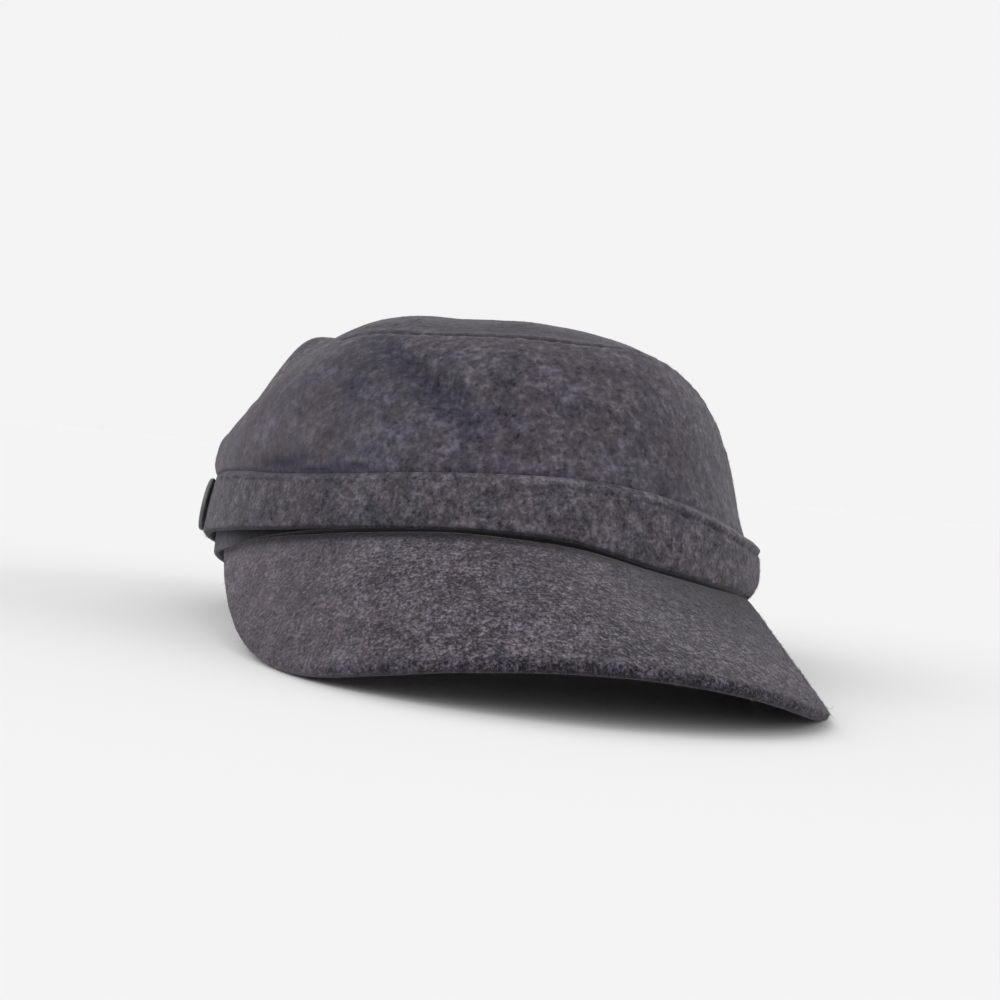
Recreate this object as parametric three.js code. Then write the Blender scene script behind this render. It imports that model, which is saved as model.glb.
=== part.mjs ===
// Baker boy cap in grey melange wool felt: a soft low crown of a wall and a domed tip, a folded band round
// its foot, a plain headband under that, and a covered peak that slopes down from temple to temple.
// Millimetres, +Z up. The wearer faces -Y and their left side is +X.
// The cap is drawn in its own frame, where z = 0 is near the band's lower edge at the front. A turn is an
// angle round the head, 0 at the front and growing towards the wearer's left.
// The group tips that frame back, so that the cap rests on the back of its headband and on its peak.
import * as THREE from "three";

// Driving dimensions
const GAP = 0.3; // between pieces that touch
const CLOTH = 2.0; // one layer of felt
const HEAD_HALF_WIDTH = 80.0; // outside of the headband, for a 57 cm head
const HEAD_HALF_LENGTH = 103.5;
const HEADBAND_TOP = 11.5; // above the band's lower edge
const TOP_GAP = 0.4; // from the band's top to where the crown's wall comes out of it
const SEAM_GAP = 0.4; // between the wall and the tip, along the tip
const TIP_HEIGHT = 69.3; // middle of the tip, above the cap's zero
const TIP_MIDDLE_X = 2.1;
const TIP_MIDDLE_Y = 6.4;
const PEAK_LENGTH = 70.2; // along the slope, at the middle
const PEAK_SLOPE = THREE.MathUtils.degToRad(32.5);
const PEAK_RADIUS = 87.0; // of the cylinder that the peak's edge lies on
const PEAK_HALF_WIDTH = 80.0; // at the temples
const PEAK_ROOT = 6.0; // height of that cylinder's crest at the headband
const PEAK_FRONT = 2.8; // powers of the peak's outline: the higher, the squarer it is
const PEAK_SIDE_RIGHT = 11.0;
const PEAK_SIDE_LEFT = 6.0;
const PEAK_SKEW = 0.035; // how much longer the wearer's left half is, as a share
const PEAK_TWIST = 1.6; // how far the wearer's left corner is lifted, and the right one dropped
const PEAK_THICKNESS = 3.4; // cloth, board and cloth
const PEAK_GAP = 0.5; // between its sewn edge and the headband
const BUTTON_TURN = THREE.MathUtils.degToRad(103); // just behind the temple
const BUTTON_HEIGHT = 10.4; // of its middle, above the band's lower edge
const BUTTON_STAND = 3.15; // from the headband's outside to the back plate
const BUTTON_LEAN = 0.95; // how far a button leans out over the band's height, as the band does

// How the cap rests: it tips back and a little to one side, is lifted, and is centred over the origin.
const REST_TILT = THREE.MathUtils.degToRad(7.9);
const REST_ROLL = THREE.MathUtils.degToRad(1.9);
const REST_LIFT = 22.9;
const REST_X = -0.015;
const REST_Y = 29.82;

// Mesh density
const AROUND = 64; // sections round the head
const PEAK_STATIONS = 20; // sections of the peak on each side of its middle
const PEAK_CROWDING = 2.2; // the sections crowd towards the temples
const PEAK_TRIM = 0.8; // share of a section left off at each temple
const BUTTON_SIDES = 24;
const STEADY_CLIMB = 0.1; // lower than this on the wall, the cloth is as square to it as it is here
const JUST_INSIDE = 0.01; // share of the way in from the seam where the tip's slope is taken

const FELT = {
  crown_side: 0x56535a,
  crown_tip: 0x5b575e,
  band: 0x54515a,
  headband: 0x4c4a52,
  peak: 0x5a565e,
};
const FELT_ROUGHNESS = 0.95;
const BUTTON_COLOUR = 0x5a585c;
const BUTTON_ROUGHNESS = 0.5;

// Round the rim, every 15 degrees of turn: the height of the band's lower edge, how tall the band is, how
// far its lower edge flares out or is tucked in, and the heights of the headband's hem and of the peak's
// sewn edge, which runs only from temple to temple.
const RIM = [
  { turn: 0, band: -1.1, tall: 16.1, flare: 0, tuck: 0, hem: -4.7, peak: -2.1 },
  { turn: 15, band: -4.2, tall: 18.6, flare: 0, tuck: 0, hem: -7.4, peak: -5.2 },
  { turn: 30, band: -5.3, tall: 17.9, flare: 0, tuck: 0.2, hem: -8.8, peak: -6.2 },
  { turn: 45, band: -5.2, tall: 15.7, flare: 0, tuck: 0.8, hem: -8.6, peak: -6.8 },
  { turn: 60, band: -3.8, tall: 14.9, flare: 0, tuck: 1.6, hem: -9.4, peak: -9 },
  { turn: 75, band: -3.9, tall: 15.6, flare: 0, tuck: 1.6, hem: -9.8, peak: -10.2 },
  { turn: 90, band: -4.3, tall: 16.4, flare: 0, tuck: 1, hem: -8, peak: -9 },
  { turn: 105, band: -4.4, tall: 16.6, flare: 0, tuck: 0.5, hem: -8, peak: -6.4 },
  { turn: 120, band: -4.3, tall: 16.6, flare: 0, tuck: 0.4, hem: -8.6, peak: -6.4 },
  { turn: 135, band: -4, tall: 16.6, flare: 0, tuck: 0.4, hem: -8.9, peak: -6.4 },
  { turn: 150, band: -3.6, tall: 16.6, flare: 0, tuck: 0.4, hem: -9, peak: -6.4 },
  { turn: 165, band: -3.3, tall: 16.6, flare: 0, tuck: 0.4, hem: -8.9, peak: -6.4 },
  { turn: 180, band: -3, tall: 16.6, flare: 0, tuck: 0.4, hem: -8.8, peak: -6.4 },
  { turn: 195, band: -2.7, tall: 16.6, flare: 0, tuck: 0.4, hem: -8.6, peak: -6.4 },
  { turn: 210, band: -2.4, tall: 16.6, flare: 0, tuck: 0.4, hem: -8.4, peak: -6.4 },
  { turn: 225, band: -2, tall: 16.8, flare: 0.2, tuck: 0.3, hem: -8.1, peak: -6.4 },
  { turn: 240, band: -1.5, tall: 17.2, flare: 0.6, tuck: 0, hem: -7.6, peak: -6.4 },
  { turn: 255, band: -1, tall: 17.6, flare: 0.9, tuck: 0, hem: -6.9, peak: -6.8 },
  { turn: 270, band: -1, tall: 17.9, flare: 1, tuck: 0, hem: -6.4, peak: -7.4 },
  { turn: 285, band: -1.9, tall: 16.8, flare: 0.7, tuck: 0, hem: -7.2, peak: -7.8 },
  { turn: 300, band: -2.6, tall: 15.2, flare: 0.3, tuck: 0, hem: -8.2, peak: -5.6 },
  { turn: 315, band: -2.3, tall: 14.2, flare: 0.1, tuck: 0, hem: -7.2, peak: -3.8 },
  { turn: 330, band: -1.5, tall: 14.3, flare: 0, tuck: 0, hem: -6, peak: -2.6 },
  { turn: 345, band: -0.6, tall: 14.5, flare: 0, tuck: 0, hem: -4.9, peak: -1.7 },
];

// Round the crown, every 30 degrees of turn: how far in the seam lies and how far the wall swells out, both
// as a share of the headband's half-axes, the seam's height, how quickly the tip rises from the seam, and
// how far the wall puffs out just above the band.
const CROWN = [
  { turn: 0, inset: 0.229, swell: -0.014, seam: 54.4, plump: 3.7, puff: 1 },
  { turn: 30, inset: 0.228, swell: -0.032, seam: 55.6, plump: 3.4, puff: 0.5 },
  { turn: 60, inset: 0.178, swell: -0.047, seam: 45, plump: 3.3, puff: -0.8 },
  { turn: 90, inset: 0.087, swell: 0.005, seam: 42.7, plump: 3.1, puff: -0.4 },
  { turn: 120, inset: 0.111, swell: 0.028, seam: 37.9, plump: 2.9, puff: 0.6 },
  { turn: 150, inset: 0.139, swell: 0.032, seam: 36.8, plump: 2.8, puff: 0.8 },
  { turn: 180, inset: 0.144, swell: 0.033, seam: 37.3, plump: 2.7, puff: 0.8 },
  { turn: 210, inset: 0.097, swell: 0.038, seam: 34.5, plump: 2.7, puff: 0.8 },
  { turn: 240, inset: 0.01, swell: 0.047, seam: 32, plump: 2.7, puff: 0.4 },
  { turn: 270, inset: 0.015, swell: 0.024, seam: 30.9, plump: 3.6, puff: 1.1 },
  { turn: 300, inset: 0.189, swell: 0.017, seam: 52.6, plump: 4.7, puff: 0.9 },
  { turn: 330, inset: 0.219, swell: 0, seam: 53.2, plump: 3.5, puff: 1 },
];
const WALL_LEAN = 1.41; // the wall starts upright and leans in more and more
const WALL_ROLL = 1.74; // it climbs fast at first and rolls over towards the seam
const SWELL_SKEW = 0.55; // the swell is fullest low on the wall
const PUFF_START = 0.4; // the puff grows over this height
const PUFF_FADE = 8.0; // and dies away over this one

// Soft dents and bulges of the wall: the middle as a turn and a climb from 0 at the band to 1 at the seam,
// half-sizes along and up the wall, how the middle's climb changes with a degree of turn, and the push
// outwards.
const WALL_FOLDS = [
  { turn: -28, climb: 0.36, halfTurn: 16, halfClimb: 0.13, slope: -0.023, push: -4.2 },
  { turn: -44, climb: 0.33, halfTurn: 8, halfClimb: 0.14, slope: 0, push: -1.2 },
  { turn: -62, climb: 0.35, halfTurn: 13, halfClimb: 0.3, slope: 0, push: 1 },
  { turn: 8, climb: 0.35, halfTurn: 20, halfClimb: 0.3, slope: 0, push: 0.8 },
];
const FOLD_FADE = 0.7; // power with which the folds die away towards the band and the seam
// Soft bulges of the tip: the middle in plan, the radius and the lift.
const TIP_FOLDS = [
  { x: -61.1, y: 6, radius: 10.4, lift: 8 },
  { x: -51.8, y: 32.5, radius: 20.5, lift: 2.9 },
  { x: 25, y: 0, radius: 32, lift: 0.9 },
];
const TIP_FOLD_FADE = 10.9; // power with which they die away towards the seam

// Cross-section of the folded band, from its inner foot round the outside to its inner top, drawn for a
// band of BAND_HEIGHT. Its foot is rounded and its outside leans in towards the top.
const BAND_HEIGHT = 16.6;
const BAND_SECTION = [
  { out: 0.4, up: 0.3 },
  { out: 1.4, up: 0 },
  { out: 2.5, up: 0.4 },
  { out: 2.9, up: 1.3 },
  { out: 2.9, up: 5 },
  { out: 2.75, up: 9 },
  { out: 2.5, up: 11.6 },
  { out: 2.35, up: 13.2 },
  { out: 2.2, up: 14.8 },
  { out: 1.5, up: 16.1 },
  { out: 0.4, up: 16.6 },
  { out: 0.4, up: 11 },
  { out: 0.4, up: 5.5 },
];
const TUCK_HEIGHT = 2.6; // the tuck of the lower edge dies away over this height
const TUCK_FROM = 0.5; // and it moves the outer layer only: none of it at this distance out,
const TUCK_FULL = 2.0; // and all of it at this one
// Cross-section of the headband, measured out from its outside face. The heights are above the hem, up to
// the top, which follows the band instead.
const HEM_SECTION = [
  { out: -2.0, up: 0.6 },
  { out: -1.6, up: 0.0 },
  { out: -0.4, up: 0.0 },
  { out: 0, up: 0.6 },
];
const CLIMBS = [0, 0.025, 0.08, 0.16, 0.25, 0.34, 0.43, 0.54, 0.67, 0.82, 1];
const TIP_STEPS = [0.05, 0.13, 0.25, 0.42, 0.62, 0.82];
const PEAK_STEPS = [0, 0.25, 0.5, 0.75, 1];
const EDGE_STEPS = [60, 20, -20, -60]; // degrees round the peak's rolled edge
// Profile of a button, from its back plate out to the raised rim and in to the middle of its face.
const BUTTON_PROFILE = [
  { radius: 0, height: 0 },
  { radius: 6.3, height: 0 },
  { radius: 6.3, height: 0.4 },
  { radius: 7.5, height: 0.4 },
  { radius: 8.3, height: 1 },
  { radius: 8.3, height: 1.6 },
  { radius: 7.6, height: 2.2 },
  { radius: 6.7, height: 2.1 },
  { radius: 5.9, height: 1.5 },
  { radius: 0, height: 1.5 },
];

// Value of a table's column at a turn, on a smooth curve through its rows.
function around(rows, column, turn) {
  const n = rows.length;
  const place = ((((turn / (2 * Math.PI)) * n) % n) + n) % n;
  const row = Math.floor(place);
  const f = place - row;
  const [a, b, c, d] = [-1, 0, 1, 2].map((k) => rows[(row + k + n) % n][column]);
  const slope = c - a;
  const bend = 2 * a - 5 * b + 4 * c - d;
  const twist = 3 * b - a - 3 * c + d;
  return 0.5 * (2 * b + slope * f + bend * f ** 2 + twist * f ** 3);
}

// Height of the floor under the tipped cap, in the cap's own frame.
function floorUnder(x, y) {
  const rise = x * Math.cos(REST_TILT) * Math.sin(REST_ROLL) + y * Math.sin(REST_TILT) - REST_LIFT;
  return rise / (Math.cos(REST_TILT) * Math.cos(REST_ROLL));
}

// How far the flare carries the band out at a height in its section.
function flareAt(turn, up) {
  return around(RIM, "flare", turn) * (1 - up / BAND_HEIGHT) ** 2;
}

// A point outside the headband by a distance, pressed flat where it would sink into the floor.
function onHead(turn, out, z) {
  const x = (HEAD_HALF_WIDTH + out) * Math.sin(turn);
  const y = -(HEAD_HALF_LENGTH + out) * Math.cos(turn);
  return new THREE.Vector3(x, y, Math.max(z, floorUnder(x, y)));
}

// Push of the soft folds on the wall, in millimetres.
function wallFolds(turn, climb) {
  let push = 0;
  for (const fold of WALL_FOLDS) {
    let across = THREE.MathUtils.radToDeg(turn) - fold.turn;
    across -= 360 * Math.round(across / 360);
    const above = climb - fold.climb - fold.slope * across;
    push += fold.push * Math.exp(-((across / fold.halfTurn) ** 2) - (above / fold.halfClimb) ** 2);
  }
  return push * Math.sin(Math.PI * climb) ** FOLD_FADE;
}

// Outer surface of the crown's wall: climb runs from 0 at the band to 1 at the seam.
function wallSurface(turn, climb) {
  const foot = around(RIM, "band", turn) + around(RIM, "tall", turn) + TOP_GAP;
  const seam = around(CROWN, "seam", turn);
  const rise = (seam - foot) * (1 - (1 - climb) ** WALL_ROLL);
  const lean = around(CROWN, "inset", turn) * climb ** WALL_LEAN;
  const swell = around(CROWN, "swell", turn) * Math.sin(Math.PI * climb ** SWELL_SKEW);
  const leaving = (1 - Math.exp(-rise / PUFF_START)) * Math.exp(-rise / PUFF_FADE);
  const push = wallFolds(turn, climb) + around(CROWN, "puff", turn) * leaving;
  const reach = 1 - lean + swell + push / HEAD_HALF_LENGTH;
  return new THREE.Vector3(
    HEAD_HALF_WIDTH * reach * Math.sin(turn),
    -HEAD_HALF_LENGTH * reach * Math.cos(turn),
    foot + rise,
  );
}

// Outer surface of the tip: inward runs from 0 at the seam to 1 at the middle.
function tipSurface(turn, inward) {
  const seam = wallSurface(turn, 1);
  const middle = new THREE.Vector3(TIP_MIDDLE_X, TIP_MIDDLE_Y, TIP_HEIGHT);
  const point = seam.clone().lerp(middle, inward);
  const share = 1 - inward;
  point.z = TIP_HEIGHT + (seam.z - TIP_HEIGHT) * share ** around(CROWN, "plump", turn);
  for (const fold of TIP_FOLDS) {
    const away = Math.hypot(point.x - fold.x, point.y - fold.y) / fold.radius;
    point.z += fold.lift * Math.exp(-(away ** 2)) * (1 - share ** TIP_FOLD_FADE);
  }
  return point;
}

// Outward normal of a surface that is a function of a turn and a second parameter.
function normalOf(surface, turn, other) {
  const step = 1e-3;
  const along = surface(turn + step, other).sub(surface(turn - step, other));
  const low = Math.max(other - step, 0);
  const high = Math.min(other + step, 1);
  const across = surface(turn, high).sub(surface(turn, low));
  return along.cross(across).normalize();
}

// Direction of the mitre at the seam, halfway between the wall's normal and the tip's.
function seamMitre(turn) {
  return normalOf(wallSurface, turn, 1).add(normalOf(tipSurface, turn, JUST_INSIDE)).normalize();
}

// A mesh of grid points, each row joined to the next and, if round is set, the last to the first. Points in
// a row always close into a loop.
function loopFaces(rows, size, round) {
  const faces = [];
  const last = round ? rows : rows - 1;
  for (let i = 0; i < last; i++) {
    for (let j = 0; j < size; j++) {
      const a = i * size + j;
      const b = ((i + 1) % rows) * size + j;
      const c = ((i + 1) % rows) * size + ((j + 1) % size);
      const d = i * size + ((j + 1) % size);
      faces.push(a, b, c, a, c, d);
    }
  }
  return faces;
}

// Each piece has its own material, so that the finish of one can change alone.
function meshOf(name, geometry, colour, roughness) {
  const material = new THREE.MeshStandardMaterial({ color: colour, roughness, metalness: 0 });
  const mesh = new THREE.Mesh(geometry, material);
  mesh.name = name;
  return mesh;
}

function geometryOf(points, faces) {
  const geometry = new THREE.BufferGeometry().setFromPoints(points);
  geometry.setIndex(faces);
  geometry.computeVertexNormals();
  return geometry;
}

// A closed ring round the head, from a function that gives the loop of its section at a turn.
function ringGeometry(sectionAt) {
  const sections = Array.from({ length: AROUND }, (_, i) => sectionAt((i / AROUND) * 2 * Math.PI));
  return geometryOf(sections.flat(), loopFaces(AROUND, sections[0].length, true));
}

function crownSide() {
  return ringGeometry((turn) => {
    const skirtFoot = around(RIM, "band", turn) + HEADBAND_TOP + GAP;
    const outer = [onHead(turn, 0, skirtFoot)];
    const inner = [onHead(turn, -CLOTH, skirtFoot)];
    for (const climb of CLIMBS) {
      const point = wallSurface(turn, climb);
      const steady = Math.max(climb, STEADY_CLIMB);
      const across = climb === 1 ? seamMitre(turn) : normalOf(wallSurface, turn, steady);
      outer.push(point);
      inner.push(point.clone().addScaledVector(across, -CLOTH));
    }
    return [...outer, ...inner.reverse()];
  });
}

function crownTip() {
  const turns = Array.from({ length: AROUND }, (_, i) => (i / AROUND) * 2 * Math.PI);
  const outer = [];
  const inner = [];
  const edge = turns.map((turn) => {
    const width = wallSurface(turn, 1).distanceTo(tipSurface(turn, 1));
    return tipSurface(turn, SEAM_GAP / width);
  });
  outer.push(edge);
  inner.push(edge.map((point, i) => point.clone().addScaledVector(seamMitre(turns[i]), -CLOTH)));
  for (const step of TIP_STEPS) {
    outer.push(turns.map((turn) => tipSurface(turn, step)));
    inner.push(
      turns.map((turn) => {
        return tipSurface(turn, step).addScaledVector(normalOf(tipSurface, turn, step), -CLOTH);
      }),
    );
  }
  const rings = [...inner.reverse(), ...outer];
  const points = rings.flat();
  const faces = [];
  for (let i = 0; i < rings.length - 1; i++) {
    for (let j = 0; j < AROUND; j++) {
      const next = (j + 1) % AROUND;
      const [a, b] = [i * AROUND + j, i * AROUND + next];
      const [c, d] = [(i + 1) * AROUND + next, (i + 1) * AROUND + j];
      faces.push(a, b, c, a, c, d);
    }
  }
  const top = points.push(tipSurface(0, 1)) - 1;
  const under = points.push(tipSurface(0, 1).setZ(TIP_HEIGHT - CLOTH)) - 1;
  const lastRing = (rings.length - 1) * AROUND;
  for (let j = 0; j < AROUND; j++) {
    const next = (j + 1) % AROUND;
    faces.push(lastRing + j, lastRing + next, top);
    faces.push(next, j, under);
  }
  return geometryOf(points, faces);
}

function bandRing() {
  return ringGeometry((turn) => {
    const foot = around(RIM, "band", turn);
    const stretch = around(RIM, "tall", turn) / BAND_HEIGHT;
    return BAND_SECTION.map(({ out, up }) => {
      const outerLayer = THREE.MathUtils.clamp((out - TUCK_FROM) / (TUCK_FULL - TUCK_FROM), 0, 1);
      const rise = up * stretch;
      const tuck = around(RIM, "tuck", turn) * Math.exp(-((rise / TUCK_HEIGHT) ** 2)) * outerLayer;
      return onHead(turn, out + flareAt(turn, up) - tuck, foot + rise);
    });
  });
}

function headbandRing() {
  return ringGeometry((turn) => {
    const hem = around(RIM, "hem", turn);
    const top = around(RIM, "band", turn) + HEADBAND_TOP;
    const foot = HEM_SECTION.map(({ out, up }) => onHead(turn, out, hem + up));
    return [...foot, onHead(turn, 0, top), onHead(turn, -CLOTH, top)];
  });
}

// One section of the peak, at a share of its half-width, as a loop: back over the top from the rolled edge
// to the sewn edge, then forward underneath.
function peakSection(share) {
  const x = PEAK_HALF_WIDTH * share;
  const bend = Math.asin(x / PEAK_RADIUS);
  const normal = new THREE.Vector3(
    Math.sin(bend),
    -Math.cos(bend) * Math.sin(PEAK_SLOPE),
    Math.cos(bend) * Math.cos(PEAK_SLOPE),
  );
  const nearTurn = Math.asin(x / (HEAD_HALF_WIDTH + PEAK_THICKNESS));
  const outward = new THREE.Vector3(Math.sin(nearTurn), -Math.cos(nearTurn), 0);
  const stand = PEAK_GAP + PEAK_THICKNESS * normal.dot(outward);
  const halfWidth = HEAD_HALF_WIDTH + stand;
  const halfLength = HEAD_HALF_LENGTH + stand;
  const turn = Math.asin(x / halfWidth);
  const front = halfLength * Math.cos(turn);
  const sewn = new THREE.Vector3(x, -front, around(RIM, "peak", turn));
  const crest = PEAK_ROOT + (halfLength - front) * Math.tan(PEAK_SLOPE);
  const root = crest - (PEAK_RADIUS * (1 - Math.cos(bend))) / Math.cos(PEAK_SLOPE);
  const squareness = share < 0 ? PEAK_SIDE_RIGHT : PEAK_SIDE_LEFT;
  const outline = (1 - Math.abs(share) ** squareness) ** (1 / PEAK_FRONT) * (1 + PEAK_SKEW * share);
  const reach = PEAK_LENGTH * outline;
  const tip = new THREE.Vector3(
    x,
    -front - reach * Math.cos(PEAK_SLOPE),
    root - reach * Math.sin(PEAK_SLOPE) + PEAK_TWIST * share * outline,
  );
  const along = tip.clone().sub(sewn);
  const radius = Math.min(PEAK_THICKNESS / 2, along.length() / 3);
  const run = along.length() - radius;
  along.normalize();
  const top = PEAK_STEPS.map((step) => sewn.clone().addScaledVector(along, run * step));
  const under = top.map((point) => point.clone().addScaledVector(normal, -2 * radius));
  const centre = top.at(-1).clone().addScaledVector(normal, -radius);
  const edge = EDGE_STEPS.map((degrees) => {
    const angle = THREE.MathUtils.degToRad(degrees);
    return centre
      .clone()
      .addScaledVector(along, radius * Math.cos(angle))
      .addScaledVector(normal, radius * Math.sin(angle));
  });
  const loop = [...top.reverse(), ...under, ...edge.reverse()];
  for (const point of loop) point.z = Math.max(point.z, floorUnder(point.x, point.y));
  return loop;
}

function peakBoard() {
  const shares = [];
  for (let i = -PEAK_STATIONS; i <= PEAK_STATIONS; i++) {
    const even = Math.abs(i) / (PEAK_STATIONS + PEAK_TRIM);
    shares.push(Math.sign(i) * (1 - (1 - even) ** PEAK_CROWDING));
  }
  const sections = shares.map(peakSection);
  const size = sections[0].length;
  const points = sections.flat();
  const faces = loopFaces(sections.length, size, false);
  const ends = [sections[0], sections.at(-1)];
  ends.forEach((loop, side) => {
    const middle = loop.reduce((sum, point) => sum.add(point), new THREE.Vector3()).divideScalar(size);
    const centre = points.push(middle) - 1;
    const first = side === 0 ? 0 : (sections.length - 1) * size;
    for (let j = 0; j < size; j++) {
      const a = first + j;
      const b = first + ((j + 1) % size);
      if (side === 0) faces.push(centre, a, b);
      else faces.push(centre, b, a);
    }
  });
  return geometryOf(points, faces);
}

// A flat round button with a raised rim, on a thin back plate that lies along the band. It leans as the
// band does.
function button(name, turn) {
  const profile = BUTTON_PROFILE.map(({ radius, height }) => new THREE.Vector2(radius, height));
  const lathe = new THREE.LatheGeometry(profile, BUTTON_SIDES);
  const mesh = meshOf(name, lathe, BUTTON_COLOUR, BUTTON_ROUGHNESS);
  const stand = BUTTON_STAND + flareAt(turn, BUTTON_HEIGHT);
  mesh.position.copy(onHead(turn, stand, around(RIM, "band", turn) + BUTTON_HEIGHT));
  const outward = new THREE.Vector3(
    Math.sin(turn) / HEAD_HALF_WIDTH,
    -Math.cos(turn) / HEAD_HALF_LENGTH,
    0,
  ).normalize();
  outward.z = (around(RIM, "flare", turn) + BUTTON_LEAN) / BAND_HEIGHT;
  outward.normalize();
  mesh.quaternion.setFromUnitVectors(new THREE.Vector3(0, 1, 0), outward);
  return mesh;
}

const cap = new THREE.Group();
cap.add(
  meshOf("crown_side", crownSide(), FELT.crown_side, FELT_ROUGHNESS),
  meshOf("crown_tip", crownTip(), FELT.crown_tip, FELT_ROUGHNESS),
  meshOf("band", bandRing(), FELT.band, FELT_ROUGHNESS),
  meshOf("headband", headbandRing(), FELT.headband, FELT_ROUGHNESS),
  meshOf("peak", peakBoard(), FELT.peak, FELT_ROUGHNESS),
  button("button_right", 2 * Math.PI - BUTTON_TURN),
  button("button_left", BUTTON_TURN),
);
cap.rotation.set(-REST_TILT, REST_ROLL, 0);
cap.position.set(REST_X, REST_Y, REST_LIFT);

const part = new THREE.Group();
part.add(cap);
export default part;
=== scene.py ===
# %% [markdown]
# # A baker boy cap in grey wool felt
# The cap has a soft low crown, a folded band round its foot, a plain headband under that, and a stiff curved
# peak. A small button sits on each side of the band. Each piece is a surface worked out with numpy, and the
# felt ones share one finish, each with its own greys.

# %% Load the frame
import bpy
import numpy as np
from mathutils import Matrix


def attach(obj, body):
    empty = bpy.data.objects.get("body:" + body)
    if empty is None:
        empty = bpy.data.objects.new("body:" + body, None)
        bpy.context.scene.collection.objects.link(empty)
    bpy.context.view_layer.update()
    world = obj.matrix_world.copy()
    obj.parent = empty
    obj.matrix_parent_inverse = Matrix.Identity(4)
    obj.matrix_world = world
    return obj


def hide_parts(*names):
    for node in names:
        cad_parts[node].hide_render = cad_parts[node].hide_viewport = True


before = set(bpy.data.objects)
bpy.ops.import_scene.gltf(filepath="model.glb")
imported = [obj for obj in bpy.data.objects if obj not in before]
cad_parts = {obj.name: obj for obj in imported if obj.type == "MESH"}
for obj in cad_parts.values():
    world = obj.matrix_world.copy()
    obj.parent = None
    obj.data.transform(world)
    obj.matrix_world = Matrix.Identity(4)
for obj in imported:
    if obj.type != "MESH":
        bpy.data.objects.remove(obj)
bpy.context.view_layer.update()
print("frame nodes:", sorted(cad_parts))

# %% [markdown]
# The cap is drawn upright in millimetres, in its own frame: the wearer faces -Y and their left side is +X.
# At rest it tips and leans a little, so every finished point is turned and lifted once. Keeping the shape
# and the pose apart leaves simple formulas for the shape.

# %% The cap's own frame
TIP_BACK = np.radians(7.9)
LEAN = np.radians(1.9)
REST = np.array([-0.015, 29.82, 22.9])
MILLIMETRES = 1000


def turning(tip_back, lean):
    """Rotation that leans about the Y axis first and then tips back about the X axis."""
    c, s = np.cos(-tip_back), np.sin(-tip_back)
    about_x = np.array([[1, 0, 0], [0, c, -s], [0, s, c]])
    c, s = np.cos(lean), np.sin(lean)
    about_y = np.array([[c, 0, s], [0, 1, 0], [-s, 0, c]])
    return about_x @ about_y


TURNED = turning(TIP_BACK, LEAN)


def to_row(points):
    """Turns points of the cap's own frame, lifts them to rest, and changes millimetres to metres."""
    return (np.asarray(points) @ TURNED.T + REST) / MILLIMETRES


def press_flat(points):
    """Raises what would sink into the floor up to the floor, straight up in the cap's own frame."""
    height = points @ TURNED[2] + REST[2]
    points[..., 2] -= np.minimum(height, 0) / TURNED[2, 2]
    return points


print("a point at the cap's zero rests at", to_row(np.zeros(3)).round(4))

# %% [markdown]
# The photograph is taken close by, from just above the floor and a little to the wearer's right, with the
# camera rolled. The camera comes first, so that every later step can be looked at through it.

# %% Camera
LOOK_AT = np.array([0.0, 0.0, 20.0])
DISTANCE = 509.0
AZIMUTH, ELEVATION, ROLL = np.radians([-13.241, -7.003, 6.311])
FRAME_PIXELS, PIXELS_PER_MILLIMETRE = 1000, 3.202
AIM_X, AIM_Y = 482.57, 499.69
SENSOR = 36.0


def placed(name, data):
    """An object at the origin that holds a mesh, a lamp or a camera, linked to the scene."""
    piece = bpy.data.objects.new(name, data)
    bpy.context.scene.collection.objects.link(piece)
    return piece


flat_share = np.cos(ELEVATION)
back = np.array([np.sin(AZIMUTH) * flat_share, -np.cos(AZIMUTH) * flat_share, np.sin(ELEVATION)])
right = np.array([np.cos(AZIMUTH), np.sin(AZIMUTH), 0.0])
up = np.cross(back, right)
right, up = right * np.cos(ROLL) + up * np.sin(ROLL), up * np.cos(ROLL) - right * np.sin(ROLL)

camera = placed("camera", bpy.data.cameras.new("camera"))
place = np.eye(4)
place[:3, :3] = TURNED @ np.stack([right, up, back], axis=1)
place[:3, 3] = to_row(LOOK_AT + DISTANCE * back)
camera.matrix_world = Matrix(place.tolist())
camera.data.sensor_width = SENSOR
camera.data.lens = SENSOR * (PIXELS_PER_MILLIMETRE * DISTANCE) / FRAME_PIXELS
camera.data.shift_x = (FRAME_PIXELS / 2 - AIM_X) / FRAME_PIXELS
camera.data.shift_y = (AIM_Y - FRAME_PIXELS / 2) / FRAME_PIXELS
camera.data.clip_start = 0.01
bpy.context.scene.camera = camera
print("camera at", place[:3, 3].round(3), "lens", round(camera.data.lens, 1))

# %% [markdown]
# Cloth is cut from a few measured stations and runs smoothly between them. A table holds the stations, one
# row for every 15 or 30 degrees round the head, and a smooth closed curve joins them. In the first table,
# band, peak and hem are heights in millimetres, tall is the band's height, flare and tuck push its foot out
# and in, and welt is how strongly its crease is pressed. In the second, inset is how far the side leans in
# and swell how far it bulges, as shares of the head. Seam is the height of the crown's seam, plump the power
# that shapes the tip, and puff how far the cloth puffs out over the band.

# %% Tables and smooth curves
HEAD_HALF_WIDTH, HEAD_HALF_LENGTH = 80.0, 103.5
FELT_THICKNESS = 2.0


def table(text):
    """Rows of numbers under a row of names, as one array for each name."""
    names, *rows = [line.split() for line in text.strip().splitlines()]
    return dict(zip(names, np.array(rows, float).T))


def between(a, b, c, d, f):
    """Cubic from b to c as f runs from 0 to 1, with a slope of half the step between the neighbours."""
    return 0.5 * (2 * b + (c - a) * f + (2 * a - 5 * b + 4 * c - d) * f**2 + (3 * b - a - 3 * c + d) * f**3)


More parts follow.
